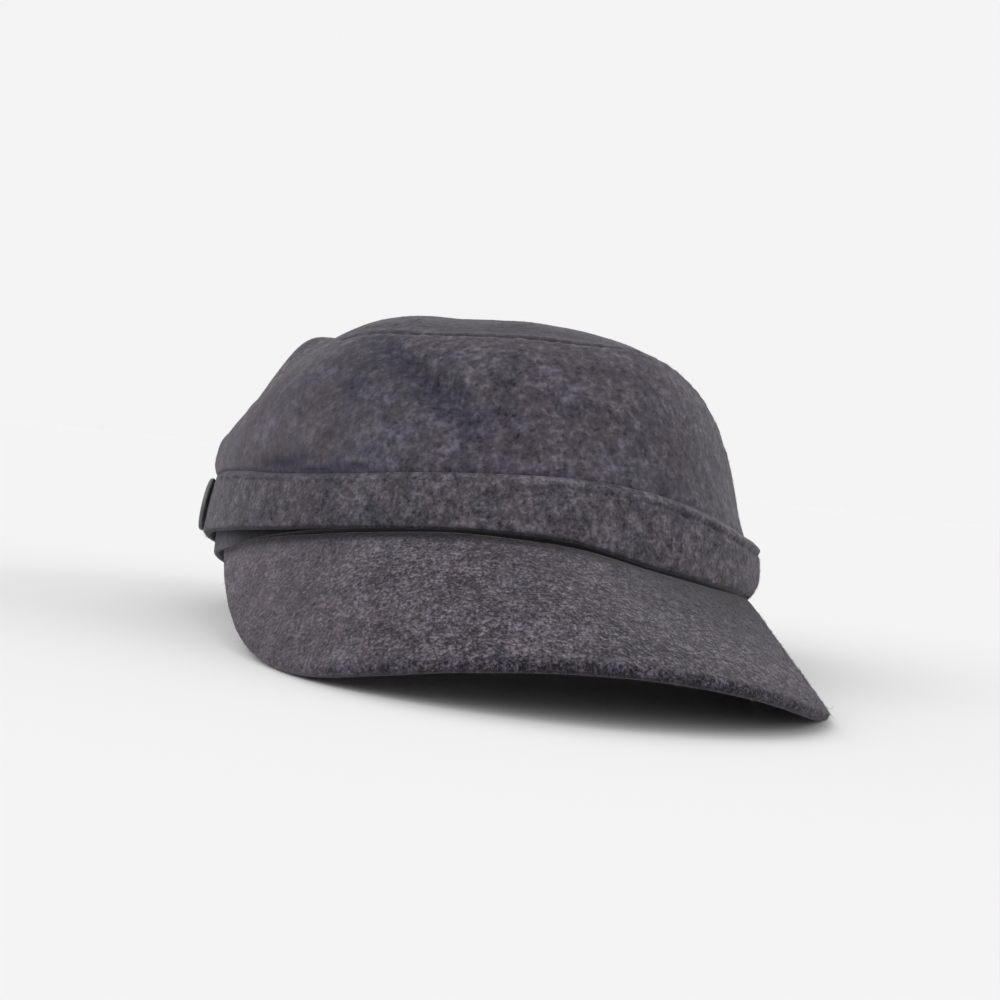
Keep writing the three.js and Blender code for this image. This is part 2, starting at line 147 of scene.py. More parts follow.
def around(column, turn):
    """Closed smooth curve through evenly spaced stations, a cubic from each to the next."""
    n = len(column)
    place = (np.asarray(turn) / (2 * np.pi) * n) % n
    row = np.floor(place).astype(int) % n
    return between(*(column[(row + k) % n] for k in (-1, 0, 1, 2)), place - np.floor(place))


def on_head(turn, out, height):
    """A point outside the headband's oval by a distance, pressed flat on the floor where it is that low."""
    x = (HEAD_HALF_WIDTH + out) * np.sin(turn)
    y = -(HEAD_HALF_LENGTH + out) * np.cos(turn)
    return press_flat(np.stack(np.broadcast_arrays(x, y, height), -1))


RIM = table("""
turn band tall flare peak  hem  welt tuck
0    -1.1 16.1 0.0   -2.1  -4.7 0.5  0.0
15   -4.2 18.6 0.0   -5.2  -7.4 0.7  0.0
30   -5.3 17.9 0.0   -6.2  -8.8 0.9  0.2
45   -5.2 15.7 0.0   -6.8  -8.6 1.0  0.8
60   -3.8 14.9 0.0   -9.0  -9.4 1.0  1.6
75   -3.9 15.6 0.0   -10.2 -9.8 1.0  1.6
90   -4.3 16.4 0.0   -9.0  -8.0 1.0  1.0
105  -4.4 16.6 0.0   -6.4  -8.0 1.0  0.5
120  -4.3 16.6 0.0   -6.4  -8.6 1.0  0.4
135  -4.0 16.6 0.0   -6.4  -8.9 1.0  0.4
150  -3.6 16.6 0.0   -6.4  -9.0 1.0  0.4
165  -3.3 16.6 0.0   -6.4  -8.9 1.0  0.4
180  -3.0 16.6 0.0   -6.4  -8.8 1.0  0.4
195  -2.7 16.6 0.0   -6.4  -8.6 1.0  0.4
210  -2.4 16.6 0.0   -6.4  -8.4 1.0  0.4
225  -2.0 16.8 0.2   -6.4  -8.1 1.0  0.3
240  -1.5 17.2 0.6   -6.4  -7.6 1.0  0.0
255  -1.0 17.6 0.9   -6.8  -6.9 1.0  0.0
270  -1.0 17.9 1.0   -7.4  -6.4 1.0  0.0
285  -1.9 16.8 0.7   -7.8  -7.2 1.0  0.0
300  -2.6 15.2 0.3   -5.6  -8.2 0.8  0.0
315  -2.3 14.2 0.1   -3.8  -7.2 0.5  0.0
330  -1.5 14.3 0.0   -2.6  -6.0 0.2  0.0
345  -0.6 14.5 0.0   -1.7  -4.9 0.2  0.0
""")
CROWN = table("""
turn inset swell  seam plump puff
0    0.229 -0.014 54.4 3.7   1.0
30   0.228 -0.032 55.6 3.4   0.5
60   0.178 -0.047 45.0 3.3   -0.8
90   0.087 0.005  42.7 3.1   -0.4
120  0.111 0.028  37.9 2.9   0.6
150  0.139 0.032  36.8 2.8   0.8
180  0.144 0.033  37.3 2.7   0.8
210  0.097 0.038  34.5 2.7   0.8
240  0.010 0.047  32.0 2.7   0.4
270  0.015 0.024  30.9 3.6   1.1
300  0.189 0.017  52.6 4.7   0.9
330  0.219 0.000  53.2 3.5   1.0
""")
print("seam runs from", CROWN["seam"].min(), "to", CROWN["seam"].max(), "mm high")

# %% [markdown]
# Every piece is a grid of points: one direction runs round the head, or across the peak, and the other
# along the piece's section. One helper joins any such grid into a mesh, and makes sure that its faces point
# out. Where a stack of rings ends, a fan of triangles to one point closes it.

# %% Mesh helpers
def grid_faces(rows, columns, wrap_rows, wrap_columns):
    """Four-cornered faces between each row and the next, and the last and first where that way closes."""
    here = np.arange(rows * columns).reshape(rows, columns)
    below = np.roll(here, -1, axis=0)
    corners = np.stack([here, below, np.roll(below, -1, axis=1), np.roll(here, -1, axis=1)], -1)
    return corners[: rows - (not wrap_rows), : columns - (not wrap_columns)].reshape(-1, 4)


def fan_faces(ring, centre):
    """Triangles from each edge of a closed ring of points to one point."""
    return np.stack([np.roll(ring, -1), ring, np.full_like(ring, centre)], -1)


def capped(rings, ends):
    """The points and the end triangles of a stack of rings that one point closes at each end."""
    sides = rings.shape[1]
    count = len(rings) * sides
    first, last = np.arange(sides), np.arange(count - sides, count)
    fans = np.concatenate([fan_faces(first, count)[:, ::-1], fan_faces(last, count + 1)])
    return np.concatenate([rings.reshape(-1, 3), ends]), fans


def make_piece(name, points, quads, triangles=None, painted_light=1.0, pile=1.0):
    """A smooth mesh from points in the cap's own frame. Faces that point inwards enclose a negative volume
    and are turned over. Each point also carries its share of the plain colour, less where shade is
    painted, and how rough its wool is."""
    points = to_row(points.reshape(-1, 3))
    fans = np.empty((0, 3), int) if triangles is None else triangles
    every = np.concatenate([quads[:, [0, 1, 2]], quads[:, [0, 2, 3]], fans])
    a, b, c = (points[every[:, k]] for k in range(3))
    volume = np.einsum("ij,ij->i", a, np.cross(b, c)).sum() / 6
    if volume < 0:
        quads, fans = quads[:, ::-1], fans[:, ::-1]
    mesh = bpy.data.meshes.new(name)
    mesh.from_pydata(points.tolist(), [], quads.tolist() + fans.tolist())
    mesh.polygons.foreach_set("use_smooth", np.ones(len(mesh.polygons), bool))
    for label, values in (("painted_light", painted_light), ("pile", pile)):
        column = mesh.attributes.new(label, "FLOAT", "POINT")
        column.data.foreach_set("value", np.broadcast_to(np.ravel(values), len(points)).astype(np.float32))
    print(f"{name}: {len(every)} triangles, {abs(volume) * 1e6:.1f} cubic centimetres")
    return placed(name, mesh)


def normals_of(grid):
    """Unit normals of a grid that closes along its second axis, from the steps to its neighbours."""
    along = np.gradient(grid, axis=0)
    across = np.roll(grid, -1, axis=1) - np.roll(grid, 1, axis=1)
    normal = np.cross(across, along)
    return normal / np.linalg.norm(normal, axis=-1, keepdims=True)


# %% [markdown]
# Three small functions do most of the shaping: a ramp goes from 0 to 1 over a stretch, a bell marks a place
# and fades away from it, and a ripple is the unevenness of soft cloth.

# %% Shaping helpers
WAVES = 12
BRUSHED_FROM, BRUSHED_OVER = -72, 45


def ramp(values, start, length):
    """0 up to the start, 1 from one length further on, and a straight slope between."""
    return np.clip((values - start) / length, 0, 1)


def bell(distance, half_width):
    """exp(-(distance / half-width)^2): 1 in the middle, and about a third one half-width away."""
    return np.exp(-((distance / half_width) ** 2))


def ripple(points, length, seed):
    """Smooth random relief of about -1 to 1: sine waves of one length, each in its own direction."""
    rng = np.random.default_rng(seed)
    heading = rng.normal(size=(WAVES, 3))
    heading /= np.linalg.norm(heading, axis=1, keepdims=True)
    phase = rng.uniform(0, 2 * np.pi, WAVES)
    waves = np.sin(points @ heading.T * (2 * np.pi / length) + phase)
    return waves.sum(-1) / np.sqrt(2 * WAVES)


def slack(points, *ripples):
    """Sum of ripples, each given by its height, its length and its seed."""
    return sum(height * ripple(points, length, seed) for height, length, seed in ripples)


def brushed(points, smoothest):
    """Roughness of the pile: least on the wearer's right, where the wool lies flat, and 1 from a third of
    the way in. It follows the smooth step 3s^2 - 2s^3."""
    s = ramp(points[..., 0], BRUSHED_FROM, BRUSHED_OVER)
    return smoothest + (1 - smoothest) * (3 * s**2 - 2 * s**3)


# %% [markdown]
# The crown's side is one strip of soft felt. It leaves the band upright, leans in more and more, and rolls
# over to the seam at the top. Pressing and wear leave it with shallow dents and bulges. It could be
# sculpted, but a formula with tables of dents gives the same cloth every time and is easy to correct. Turn
# and wide are degrees round the head. Level and tall are shares of the height for the folds, and
# millimetres above the band for the creases.

# %% The crown's side as a surface
TOP_GAP = 0.4
WALL_LEAN, WALL_ROLL, SWELL_SKEW, FOLD_FADE = 1.41, 1.74, 0.55, 0.7
PUFF_START, PUFF_LENGTH, CREASE_START = 0.4, 8, 0.7
WALL_FOLDS = table("""
turn level wide tall slope  amount
-28  0.36  16   0.13 -0.023 -4.2
-44  0.33  8    0.14 0.0    -1.2
-62  0.35  13   0.30 0.0    1.0
8    0.35  20   0.30 0.0    0.8
""")
WALL_CREASES = table("""
turn level wide tall slope amount
-59  2.8   8    1.6  0.0   -0.6
-49  1.3   7    0.55 0.11  -0.5
-48  2.7   8    0.7  0.12  0.35
-58  5.4   10   1.5  0.0   0.5
14   1.2   14   0.9  0.02  -0.5
40   1.4   16   0.8  0.0   -0.7
""")


def bells(rows, turn, level):
    """Sum of bell shapes, each round its own middle, whose level moves with the turn by a slope."""
    total = 0
    for middle, height, wide, tall, slope, amount in zip(*rows.values()):
        across = np.degrees(turn) - middle
        across -= 360 * np.round(across / 360)
        above = level - height - slope * across
        total = total + amount * np.exp(-((across / wide) ** 2) - (above / tall) ** 2)
    return total


def wall(turn, climb):
    """Outer face of the side. The reach from the head's middle is 1, less a lean that grows with the climb,
    plus a swell that is fullest low down, the folds, and a small puff where the cloth leaves the band. The
    height rolls over from the band to the seam."""
    foot = around(RIM["band"], turn) + around(RIM["tall"], turn) + TOP_GAP
    seam = around(CROWN["seam"], turn)
    rise = (seam - foot) * (1 - (1 - climb) ** WALL_ROLL)
    lean = around(CROWN["inset"], turn) * climb**WALL_LEAN
    swell = around(CROWN["swell"], turn) * np.sin(np.pi * climb**SWELL_SKEW)
    push = bells(WALL_FOLDS, turn, climb) * np.sin(np.pi * climb) ** FOLD_FADE
    push = push + bells(WALL_CREASES, turn, rise) * ramp(rise, 0, CREASE_START)
    puff = around(CROWN["puff"], turn) * (1 - np.exp(-rise / PUFF_START))
    push = push + puff * np.exp(-rise / PUFF_LENGTH)
    reach = 1 - lean + swell + push / HEAD_HALF_LENGTH
    across, along = HEAD_HALF_WIDTH * reach * np.sin(turn), -HEAD_HALF_LENGTH * reach * np.cos(turn)
    return np.stack([across, along, foot + rise], -1)


AROUND = 480
TURNS = np.arange(AROUND) / AROUND * 2 * np.pi
rim = {name: around(column, TURNS) for name, column in RIM.items()}
print("front of the side half way up:", wall(np.array(0.0), np.array(0.5)).round(1))

# %% [markdown]
# Where the side meets the tip, the two edges are sewn face to face and turned in. Outside that shows as a
# narrow groove with a soft ridge on each side, where the seam allowance pads the cloth, and the thread
# puckers it a little. The same profile is used on both pieces, measured from the seam.

# %% Seam profile
GROOVE_DEPTH, GROOVE_WIDTH = 0.35, 0.9
RIDGE_HEIGHT, RIDGE_PLACE, RIDGE_WIDTH = 0.45, 3.2, 1.9
PUCKER, PUCKER_REACH = 0.16, 3.5
LONG_WAVES, SHORT_WAVES, DRIFT = 71, 113, 9
QUIET_TURN, QUIET_HALF, QUIET_SHARE = np.radians(258), np.radians(30), 0.8


def seam_relief(distance, turn):
    """Push along the normal at a distance from the seam in millimetres: a ridge, less a groove, and short
    waves along the seam that fade away from it. All of it is flatter over the wearer's right ear."""
    ridge = RIDGE_HEIGHT * bell(distance - RIDGE_PLACE, RIDGE_WIDTH)
    groove = GROOVE_DEPTH * bell(distance, GROOVE_WIDTH)
    waves = np.sin(turn * LONG_WAVES + 2 * np.sin(turn * DRIFT)) + 0.6 * np.sin(turn * SHORT_WAVES + 1.3)
    quiet = 1 - QUIET_SHARE * bell(turn - QUIET_TURN, QUIET_HALF)
    return (ridge - groove + PUCKER * waves * np.exp(-distance / PUCKER_REACH)) * quiet


def length_along(grid):
    """Length from the first row to each row of a grid, along the grid's first axis."""
    steps = np.linalg.norm(np.diff(grid, axis=0), axis=-1)
    return np.concatenate([np.zeros_like(steps[:1]), np.cumsum(steps, axis=0)])


# %% [markdown]
# Light alone doesn't make every hollow dark enough, so shade is also painted into the colour. Each piece
# carries a share of its plain colour at each point: 1 is the plain colour and less is painted shade. The
# side's comes from two tables like those of the dents, for the valley in its front and for the creases.

# %% Crown side
SIDE_PAINTED_SHADE = table("""
turn level wide tall slope  amount
-30  0.40  14   0.11 -0.023 0.45
-42  0.30  8    0.11 0.0    0.16
-47  0.55  9    0.17 0.0    0.24
-18  0.30  14   0.22 0.0    0.06
0    0.34  5    0.06 0.0    0.14
""")
CREASE_PAINTED_SHADE = table("""
turn level wide tall slope amount
-59  2.8   8    1.7  0.0   0.58
-48  1.4   9    0.55 0.10  0.50
-40  2.0   4    1.0  0.0   0.35
42   1.0   22   0.8  0.0   0.35
""")
SIDE_ROWS, SIDE_CROWDING = 85, 1.35
SKIRT_UP, SLACK_START = 11.8, 6
SIDE_SEAM_SHADE, SIDE_FOOT_SHADE, FOOT_SHADE_HEIGHT = 0.05, 0.22, 0.8
SEAM_SHADE_WIDTH = 1.0


def cloth_wall(outer, normal, thickness):
    """Loop of rows for a wall of cloth: the outer rows, half a circle over the end edge, the rows one
    thickness further in, and half a circle over the first edge."""
    inner = outer - normal * thickness
    swing = np.radians([50, 20, -20, -50])[:, None, None]

    def edge(row, neighbour):
        middle = (outer[row] + inner[row]) / 2
        ahead = outer[row] - outer[neighbour]
        ahead /= np.linalg.norm(ahead, axis=-1, keepdims=True)
        return middle + thickness / 2 * (np.sin(swing) * normal[row] + np.cos(swing) * ahead)

    last = len(outer) - 1
    return np.concatenate([outer, edge(last, last - 1), inner[::-1], edge(0, 1)[::-1]])


climb = 1 - (1 - np.linspace(0, 1, SIDE_ROWS)) ** SIDE_CROWDING
side = wall(TURNS[None, :], climb[:, None])
side_normal = normals_of(side)
run = length_along(side)
from_seam = run[-1] - run
side_grid = side + side_normal * seam_relief(from_seam, TURNS)[..., None]
side_slack = slack(side, (0.30, 34, 1), (0.12, 13, 2)) * ramp(run, 0, SLACK_START)
side_grid += side_normal * side_slack[..., None]
skirt = on_head(TURNS, 0.0, rim["band"] + SKIRT_UP)
side_grid = np.concatenate([skirt[None], side_grid])
loop = cloth_wall(side_grid, normals_of(side_grid), FELT_THICKNESS)
# Painted shade on the side: the valley and the creases, and a little along the seam and at the foot.
shaded = bells(SIDE_PAINTED_SHADE, TURNS[None, :], climb[:, None])
shaded += bells(CREASE_PAINTED_SHADE, TURNS, side[..., 2] - side[0, :, 2])
shaded += SIDE_SEAM_SHADE * bell(from_seam, SEAM_SHADE_WIDTH)
shaded += SIDE_FOOT_SHADE * np.exp(-run / FOOT_SHADE_HEIGHT)
side_painted_light = np.ones(loop.shape[:2])
side_painted_light[1 : SIDE_ROWS + 1] -= shaded
side_faces = grid_faces(*loop.shape[:2], True, True)
crown_side = make_piece("felt_crown_side", loop, side_faces, painted_light=side_painted_light, pile=brushed(loop, 0.55))

# %% [markdown]
# The tip is the flat-cut top panel. It rises quickly from the seam and is nearly level in the middle, and
# on the wearer's right it bulges out behind the front edge.

# %% Crown tip
TIP_HEIGHT = 69.3
TIP_MIDDLE = np.array([2.1, 6.4])
TIP_FOLD_FADE = 10.9
TIP_FOLDS = table("""
x      y    radius lift
-61.1  6.0  10.4   8.0
-51.8  32.5 20.5   2.9
25.0   0.0  32.0   0.9
""")
TIP_ROWS, TIP_CROWDING, UNDER_STEP = 60, 1.3, 3
TIP_SEAM_START, TIP_SLACK_START, TIP_EDGE_IN = 0.35, 8, 0.3
# Painted shade over the whole tip, painted light on its bulge, and more painted shade at front and seam.
TIP_PAINTED_LIGHT, LOBE_PAINTED_LIGHT, FRONT_SHADE, TIP_SEAM_SHADE = 0.72, 0.28, 0.26, 0.08


def tip(turn, inward):
    """Outer face of the tip. In plan it runs straight from the seam to the middle. Its height is that of the
    middle, less the seam's drop times the share of the way left to a power, plus soft bulges."""
    seam = wall(turn, np.ones_like(turn))
    share = 1 - inward
    plan = seam[..., :2] * share[..., None] + TIP_MIDDLE * inward[..., None]
    height = TIP_HEIGHT + (seam[..., 2] - TIP_HEIGHT) * share ** around(CROWN["plump"], turn)
    for x, y, radius, lift in zip(*TIP_FOLDS.values()):
        away = np.hypot(plan[..., 0] - x, plan[..., 1] - y)
        height = height + lift * bell(away, radius) * (1 - share**TIP_FOLD_FADE)
    return np.concatenate([plan, height[..., None]], -1)


def spot(points, x, y, wide, long):
    """A bell round one place in plan, with its half-widths along X and along Y."""
    return bell(points[..., 0] - x, wide) * bell(points[..., 1] - y, long)


inward = np.linspace(0, 1, TIP_ROWS + 1)[:-1] ** TIP_CROWDING
turn_grid, inward_grid = np.meshgrid(TURNS, inward)
top = tip(turn_grid, inward_grid)
top_normal = normals_of(top)
top_normal *= np.sign(top_normal[..., 2:])
run = length_along(top)
top = top + top_normal * seam_relief(run + TIP_SEAM_START, TURNS)[..., None]
tip_slack = slack(top, (0.35, 38, 3), (0.12, 14, 4)) * ramp(run, 0, TIP_SLACK_START)
top += top_normal * tip_slack[..., None]
top[0] += (top[1] - top[0]) * TIP_EDGE_IN
under = (top - top_normal * FELT_THICKNESS)[::UNDER_STEP]
rings = np.concatenate([under[::-1], top])
points, fans = capped(rings, [under[-1].mean(0), top[-1].mean(0)])
# Painted shade on the tip, lifted on the bulge at the wearer's right as painted light, which faces the
# light.
tip_painted_light = np.full(rings.shape[:2], TIP_PAINTED_LIGHT)
tip_painted_light[len(under) :] += LOBE_PAINTED_LIGHT * spot(top, -60, 10, 22, 30) - FRONT_SHADE * spot(top, -5, -75, 60, 50)
tip_painted_light[len(under) :] -= TIP_SEAM_SHADE * bell(run, SEAM_SHADE_WIDTH)
tip_painted_light = np.append(tip_painted_light, [TIP_PAINTED_LIGHT, TIP_PAINTED_LIGHT])
crown_tip = make_piece("felt_crown_tip", points, grid_faces(*rings.shape[:2], False, True), fans, tip_painted_light)

# %% [markdown]
# The band is a strip of felt folded at its foot and turned in at its top, where a line of stitching presses
# a crease below a narrow welt. It is a profile carried round the head. The foot flares out over the
# wearer's right temple.

# %% Band
SECTION_HEIGHT = 16.6
BAND_SECTION = table("""
out  up
0.4  0.3
1.4  0.0
2.5  0.4
2.9  1.3
2.9  5.0
2.75 9.0
2.5  11.6
2.35 13.2
2.2  14.8
1.5  16.1
0.4  16.6
0.4  11.0
0.4  5.5
""")
POINTS_PER_STATION = 8
INNER_OUT, OUTER_RAMP = 0.5, 1.5
CREASE_BELOW_TOP, CREASE_SKEW, CREASE_DEPTH, CREASE_WIDTH = 2.5, 0.7, 0.55, 0.7
WELT_BELOW_TOP, WELT_PUSH, WELT_WIDTH = 1.2, 0.35, 0.9
TUCK_HEIGHT, WELT_WAVE, WELT_WAVE_HEIGHT = 2.6, 0.25, 3
CREASE_SHADE, FOOT_SHADE, TOP_SHADE, BRUSHED_SHADE = 0.35, 0.45, 0.2, 0.7

band_points = POINTS_PER_STATION * len(BAND_SECTION["out"])
section = np.linspace(0, 2 * np.pi, band_points, endpoint=False)
out = around(BAND_SECTION["out"], section)[:, None]
tall = rim["tall"]
rise = around(BAND_SECTION["up"], section)[:, None] * tall / SECTION_HEIGHT
flare = rim["flare"] * (1 - rise / tall) ** 2
outer_face = ramp(out, INNER_OUT, OUTER_RAMP)
plain = on_head(TURNS, out, np.zeros(1))
crease_line = tall - CREASE_BELOW_TOP - CREASE_SKEW * np.sin(TURNS) + slack(plain, (0.3, 23, 10))
crease = bell(rise - crease_line, CREASE_WIDTH) * (1 + slack(plain, (0.35, 7, 11)))
welt = bell(rise - tall + WELT_BELOW_TOP, WELT_WIDTH)
relief = rim["welt"] * (WELT_PUSH * welt - CREASE_DEPTH * crease)
tuck = rim["tuck"] * bell(rise, TUCK_HEIGHT)
push = slack(plain, (0.22, 29, 5), (0.10, 11, 6)) + relief - tuck
top_wave = slack(plain, (WELT_WAVE, 19, 7)) * bell(rise - tall, WELT_WAVE_HEIGHT)
band_height = rim["band"] + rise + top_wave * outer_face
band_loop = on_head(TURNS, out + flare + push * outer_face, band_height)
band_pile = brushed(band_loop, 0.85)
# Painted shade on the band: in its crease, at its foot over the peak, along its top, and more towards the
# wearer's right.
band_painted_light = 1 - CREASE_SHADE * rim["welt"] * crease - BRUSHED_SHADE * (1 - band_pile)
band_painted_light -= FOOT_SHADE * bell(rise, 0.9) + TOP_SHADE * bell(rise - tall, 0.5)
band_faces = grid_faces(*band_loop.shape[:2], True, True)
band = make_piece("felt_band", band_loop, band_faces, painted_light=band_painted_light, pile=band_pile)

# %% [markdown]
# The headband is the plain inner ring that the wearer's head fills. It shows only as a sliver under the
# band at the wearer's right temple, where the peak is sewn lower, and along the back.

# %% Headband
HEADBAND_TOP, HEADBAND_ROWS, HEM_TALL = 11.5, 9, 0.8
BELOW_BAND_SHADE, SHADE_DEPTH, FRONT_SHADE_DEPTH = 0.76, 1.6, 4
hem = rim["hem"] + HEM_TALL
head_top = rim["band"] + HEADBAND_TOP
heights = hem + (head_top - hem) * np.linspace(0, 1, HEADBAND_ROWS)[:, None]
outside = on_head(TURNS, 0.0, heights)
inside = on_head(TURNS, -FELT_THICKNESS, heights[::-1])
swing = np.radians([150, 120, 90, 60, 30])[:, None]
fold = on_head(TURNS, FELT_THICKNESS / 2 * (np.cos(swing) - 1), hem - HEM_TALL * np.sin(swing))
headband_loop = np.concatenate([outside, inside, fold])
# Painted shade on the headband below the band, reaching further down at the front.
below_band = np.clip(rim["band"] - headband_loop[..., 2], 0, None)
under_front = ramp(np.cos(TURNS), 0.15, 0.3)
headband_painted_light = 1 - BELOW_BAND_SHADE * bell(below_band, SHADE_DEPTH + FRONT_SHADE_DEPTH * under_front)
headband_faces = grid_faces(*headband_loop.shape[:2], True, True)
headband = make_piece("felt_headband", headband_loop, headband_faces, painted_light=headband_painted_light)

# %% [markdown]
# The peak is a stiff board between two layers of felt, bent like a piece of a wide tube that slopes down to
# the front. Its outline is a squarish curve from temple to temple, and its edge is rolled. The surface is
# ruled: straight lines run from the sewn edge to the front edge.

# %% Peak
PEAK_LENGTH, PEAK_SLOPE, PEAK_RADIUS = 70.2, np.radians(32.5), 87.0
PEAK_HALF_WIDTH, PEAK_ROOT, PEAK_THICKNESS, PEAK_GAP = 80.0, 6.0, 3.4, 0.5
PEAK_FRONT, PEAK_SIDE_RIGHT, PEAK_SIDE_LEFT = 2.8, 11.0, 6.0
PEAK_SKEW, PEAK_TWIST = 0.035, 1.6
OVER_ROWS, EDGE_ROWS, ROW_CROWDING = 49, 11, 1.4
STATIONS, STATION_SPARE, STATION_CROWDING = 150, 3, 2.2
PEAK_SLACK_START = 12


def peak_sections(share):
    """Loops of points across the peak, one for each share of its half-width from -1 to 1. Each runs forward
    over the top, round the rolled edge, and back underneath."""
    x = PEAK_HALF_WIDTH * share
    bend = np.arcsin(x / PEAK_RADIUS)
    sine, cosine = np.sin(PEAK_SLOPE), np.cos(PEAK_SLOPE)
    normal = np.stack([np.sin(bend), -np.cos(bend) * sine, np.cos(bend) * cosine], -1)
    near = np.arcsin(x / (HEAD_HALF_WIDTH + PEAK_THICKNESS))
    stand = PEAK_GAP + PEAK_THICKNESS * (normal[:, 0] * np.sin(near) - normal[:, 1] * np.cos(near))
    half_length = HEAD_HALF_LENGTH + stand
    turn = np.arcsin(x / (HEAD_HALF_WIDTH + stand))
    front = half_length * np.cos(turn)
    sewn = np.stack([x, -front, around(RIM["peak"], turn)], -1)
    root = PEAK_ROOT + (half_length - front) * sine / cosine - PEAK_RADIUS * (1 - np.cos(bend)) / cosine
    squareness = np.where(share < 0, PEAK_SIDE_RIGHT, PEAK_SIDE_LEFT)
    outline = (1 - np.abs(share) ** squareness) ** (1 / PEAK_FRONT) * (1 + PEAK_SKEW * share)
    reach = PEAK_LENGTH * outline
    tip_line = np.stack([x, -front - reach * cosine, root - reach * sine + PEAK_TWIST * share * outline], -1)
    along = tip_line - sewn
    length = np.linalg.norm(along, axis=-1)
    along /= length[:, None]
    radius = np.minimum(PEAK_THICKNESS / 2, length / 3)[:, None]
    straight = along * (length[:, None] - radius)
    over = sewn + (np.linspace(0, 1, OVER_ROWS) ** ROW_CROWDING)[:, None, None] * straight
    centre = over[-1] - normal * radius
    swing = np.radians(np.linspace(75, -75, EDGE_ROWS))[:, None, None]
    edge = centre + radius * (along * np.cos(swing) + normal * np.sin(swing))
    under = (over[::-1] - 2 * normal * radius)[::2]
    return np.concatenate([over, edge, under]), normal, reach


step = np.arange(-STATIONS, STATIONS + 1)
even = np.abs(step) / (STATIONS + STATION_SPARE)
share = np.sign(step) * (1 - (1 - even) ** STATION_CROWDING)
peak_loop, peak_normal, reach = peak_sections(share)
peak_slack = slack(peak_loop, (0.28, 41, 8), (0.10, 15, 9)) * ramp(reach, 0, PEAK_SLACK_START)
peak_loop = press_flat(peak_loop + peak_normal * peak_slack[..., None])
print("peak grid:", peak_loop.shape[:2], "and its edge is up to", round(float(reach.max()), 1), "mm out")

# %% [markdown]
# Shade is painted on the peak: darkest in the corner under the band, and some also along the rolled edge,
# underneath, where the pile stands up, and on its far side, which is turned from the light. Its wool is
# brushed flat near the band and on the wearer's right, and stands up along the rolled edge, so the pile
# changes outwards.

# %% Shade on the peak
EDGE_MIDDLE = OVER_ROWS + EDGE_ROWS // 2
PEAK_PILE = 0.42
ROOT_SHADE, ROOT_SHADE_RIGHT, ROOT_SHADE_LESS = 0.93, 4.3, 1.9
EDGE_SHADE, EDGE_SHADE_WIDTH, PILE_SHADE = 0.34, 3.4, 0.34
SIDE_SHADE, LEFT_SHADE, LEFT_SHADE_LENGTH, UNDER_SHADE = 0.02, 0.62, 30, 0.2

across = peak_loop[..., 0]
inward = np.linalg.norm(peak_loop - peak_loop[0], axis=-1)
edgeward = np.linalg.norm(peak_loop - peak_loop[EDGE_MIDDLE], axis=-1)
peak_pile = brushed(peak_loop, PEAK_PILE)
# Painted shade on the peak: by the band, at the rolled edge, with the pile, on the far side and underneath.
peak_painted_light = 1 - ROOT_SHADE * bell(inward, ROOT_SHADE_RIGHT - ROOT_SHADE_LESS * ramp(across, -5, 35))
peak_painted_light -= EDGE_SHADE * bell(edgeward, EDGE_SHADE_WIDTH) + PILE_SHADE * (peak_pile - PEAK_PILE)
peak_painted_light -= SIDE_SHADE * ramp(across, 0, 50)
peak_painted_light -= LEFT_SHADE * ramp(across, 0, 35) * bell(inward, LEFT_SHADE_LENGTH)
peak_painted_light[EDGE_MIDDLE + 1 :] -= UNDER_SHADE
peak_pile *= 1.12 - 0.25 * np.exp(-inward / 20) - 0.25 * ramp(across, 45, 25)
peak_wool = peak_pile**2 * (1.02 - bell(inward, 5))
rows, columns = peak_loop.shape[:2]
points = np.concatenate([peak_loop.reshape(-1, 3), peak_loop[:, [0, -1]].mean(0)])
loop = np.arange(rows) * columns
fans = [fan_faces(loop, rows * columns), fan_faces(loop + columns - 1, rows * columns + 1)[:, ::-1]]
peak_faces = grid_faces(rows, columns, True, False)
peak_painted_light, pile = (np.append(values, [1, 1]) for values in (peak_painted_light, peak_pile))
peak = make_piece("felt_peak", points, peak_faces, np.concatenate(fans), peak_painted_light, pile)

# %% [markdown]
# Two seams need something behind them, or light shows through where two pieces only meet. Inside the
# crown's seam lies the rolled seam allowance, and the peak's sewn edge is turned up in the corner under the
# band. Both are a round roll of felt that follows a line: a circle moved along it.

# %% Rolled edges in the seams
ROLL_SIDES = 12
ALLOWANCE_IN, ALLOWANCE_DOWN, ALLOWANCE_RADIUS = 0.8, 0.55, 1.0
TURN_UP_END = np.radians(72)


def level_out(turn):
    """Level directions of length 1, straight out from the head's middle."""
    return np.stack([np.sin(turn), -np.cos(turn), 0 * turn], -1)


def felt_roll(name, line, outward, radius, closes, painted_light):
    """Rings of points about a line: centre + radius * (cos a * outward + sin a * up)."""
    angle = np.linspace(0, 2 * np.pi, ROLL_SIDES, endpoint=False)[:, None]
    spoke = np.cos(angle) * outward[:, None] + np.sin(angle) * np.array([0, 0, 1])
    rings = line[:, None] + np.broadcast_to(radius, len(line))[:, None, None] * spoke
    faces = grid_faces(len(line), ROLL_SIDES, closes, True)
    points, fans = (rings, None) if closes else capped(rings, line[[0, -1]])
    return make_piece(name, points, faces, fans, painted_light)


outward = level_out(TURNS)
seam_line = (side_grid[-1] + top[0]) / 2 - ALLOWANCE_IN * outward - [0, 0, ALLOWANCE_DOWN]
# The allowance is painted a little darker inside the crown: painted shade.
allowance = felt_roll("seam_allowance_in_crown", seam_line, outward, ALLOWANCE_RADIUS, True, 0.7)
turns = np.linspace(-TURN_UP_END, TURN_UP_END, 145)
aside = (turns / TURN_UP_END) ** 2
turn_up_line = on_head(turns, 2.0 - 0.85 * aside, around(RIM["peak"], turns) + 0.6 - 0.2 * aside)
turn_up_radius = 0.62 + 0.28 * aside
